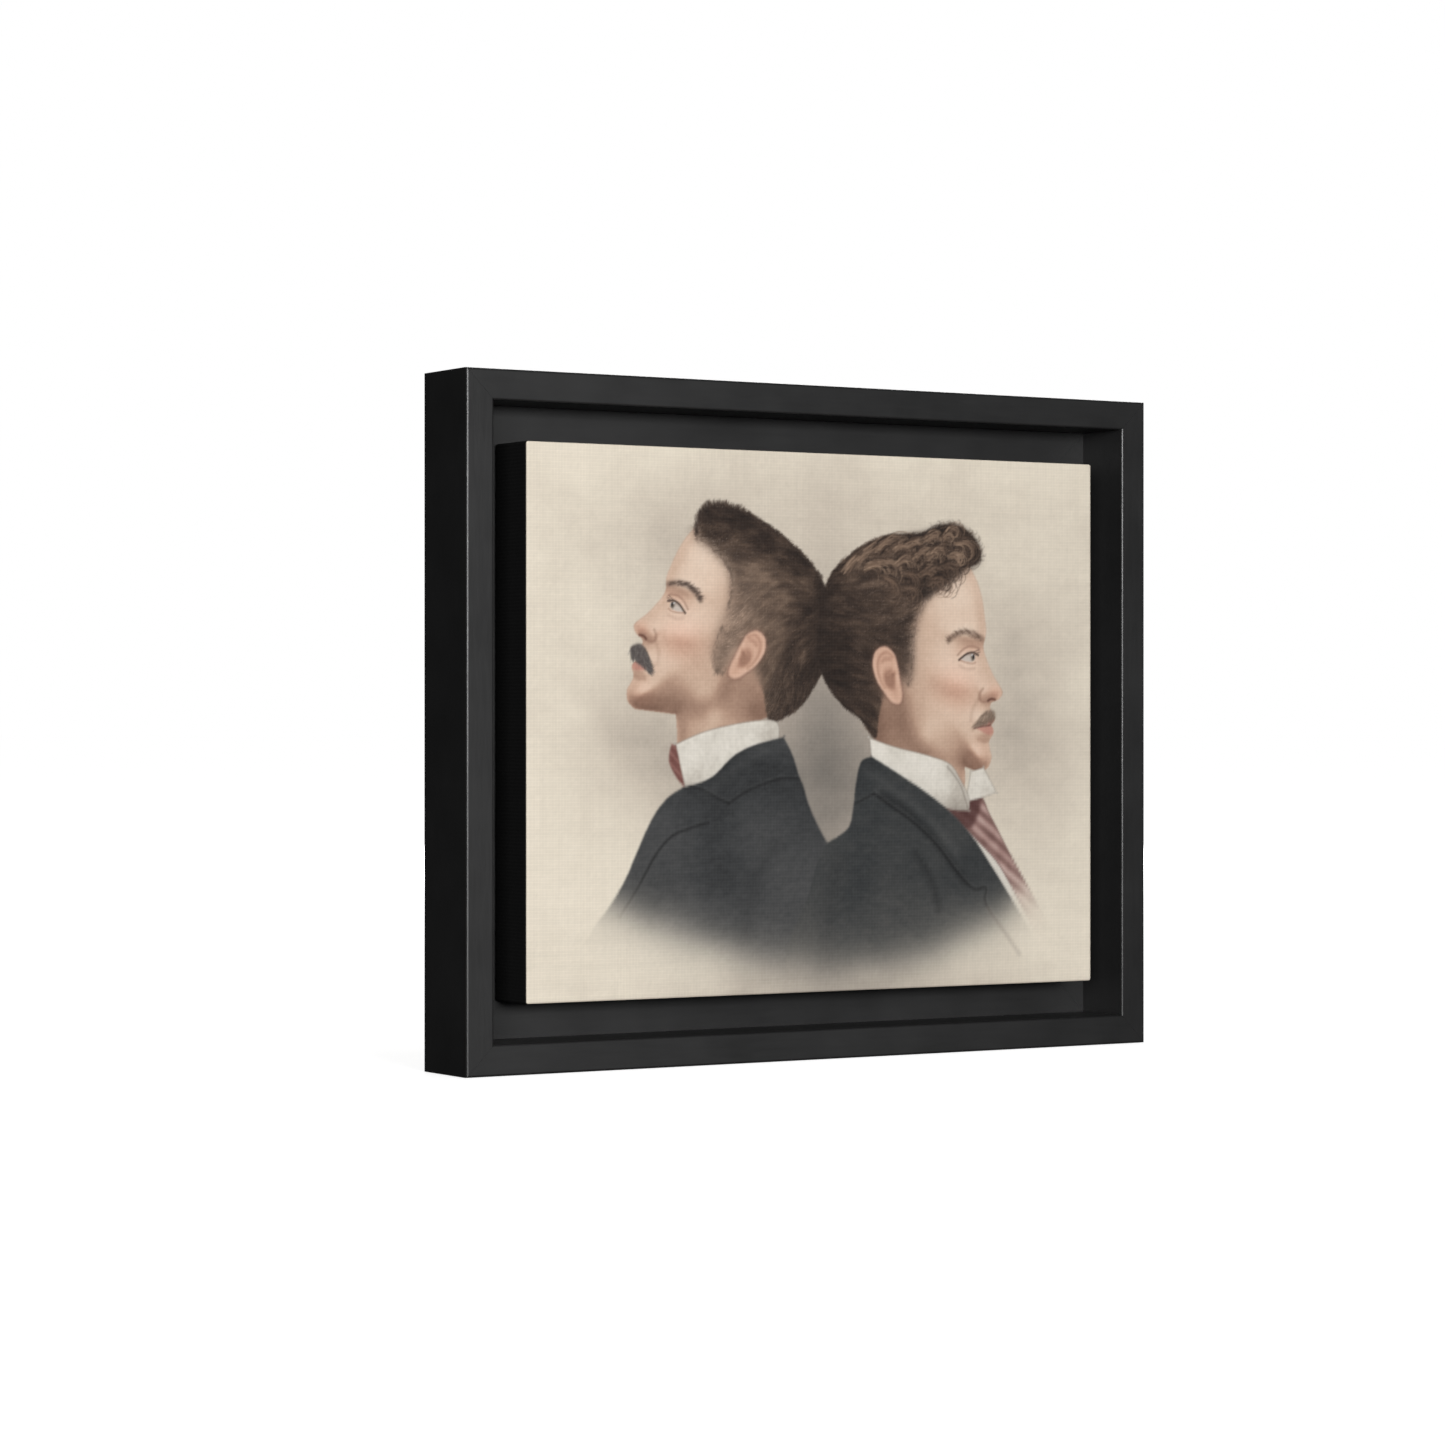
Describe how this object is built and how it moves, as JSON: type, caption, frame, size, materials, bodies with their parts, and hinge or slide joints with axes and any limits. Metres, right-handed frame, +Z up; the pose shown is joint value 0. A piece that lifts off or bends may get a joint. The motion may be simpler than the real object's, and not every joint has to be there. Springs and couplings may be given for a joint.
{
  "type": "stretched canvas in a floater frame",
  "caption": "Small printed canvas stretched on pine bars, held in a black wooden floater frame with a shadow gap, and two swinging hanging rings on the back.",
  "frame": {"origin": "below the middle of the whole object, on the surface that the frame's bottom edge stands on", "axes": "+X to the right as the picture is seen, +Y from the picture to the wall behind it, +Z up"},
  "size_m": [0.3044, 0.0368, 0.2536],
  "materials": {
    "black_paint": "satin black paint on pine",
    "pine": "planed, unfinished",
    "canvas_cloth": "matte printed cotton canvas",
    "steel": "plain steel",
    "zinc": "bright zinc plate",
    "rubber": "matte"
  },
  "bodies": {
    "frame": {"frame_rail_bottom": "black_paint", "frame_rail_left": "black_paint", "frame_rail_top": "black_paint", "frame_rail_right": "black_paint", "stretcher_bar_bottom": "pine", "stretcher_bar_left": "pine", "stretcher_bar_top": "pine", "stretcher_bar_right": "pine", "canvas": "canvas_cloth", "lip_nail_bottom_left": "steel", "lip_nail_bottom_right": "steel", "lip_nail_top_left": "steel", "lip_nail_top_right": "steel", "flange_nail_bottom_left": "steel", "flange_nail_bottom_right": "steel", "flange_nail_top_left": "steel", "flange_nail_top_right": "steel", "bar_nail_bottom_left": "steel", "bar_nail_bottom_right": "steel", "bar_nail_top_left": "steel", "bar_nail_top_right": "steel", "staple_bottom_1": "steel", "staple_bottom_2": "steel", "staple_bottom_3": "steel", "staple_bottom_4": "steel", "staple_bottom_5": "steel", "staple_bottom_6": "steel", "staple_left_1": "steel", "staple_left_2": "steel", "staple_left_3": "steel", "staple_left_4": "steel", "staple_top_1": "steel", "staple_top_2": "steel", "staple_top_3": "steel", "staple_top_4": "steel", "staple_top_5": "steel", "staple_top_6": "steel", "staple_right_1": "steel", "staple_right_2": "steel", "staple_right_3": "steel", "staple_right_4": "steel", "canvas_screw_bottom_left": "zinc", "canvas_screw_bottom_right": "zinc", "canvas_screw_top_left": "zinc", "canvas_screw_top_right": "zinc", "canvas_screw_left": "zinc", "canvas_screw_right": "zinc", "hanger_strap_left": "zinc", "hanger_strap_right": "zinc", "hanger_screw_left": "zinc", "hanger_screw_right": "zinc", "wall_bumper_left": "rubber", "wall_bumper_right": "rubber"},
    "left_ring": {"hanger_ring_left": "zinc"},
    "right_ring": {"hanger_ring_right": "zinc"}
  },
  "joints": [
    {"name": "left_ring_swing", "type": "hinge", "parent": "frame", "child": "left_ring", "pos_m": [-0.1337, 0.01635, 0.184], "axis": [1, 0, 0], "range_deg": [0, 180]},
    {"name": "right_ring_swing", "type": "hinge", "parent": "frame", "child": "right_ring", "pos_m": [0.1337, 0.01635, 0.184], "axis": [1, 0, 0], "range_deg": [0, 180]}
  ]
}
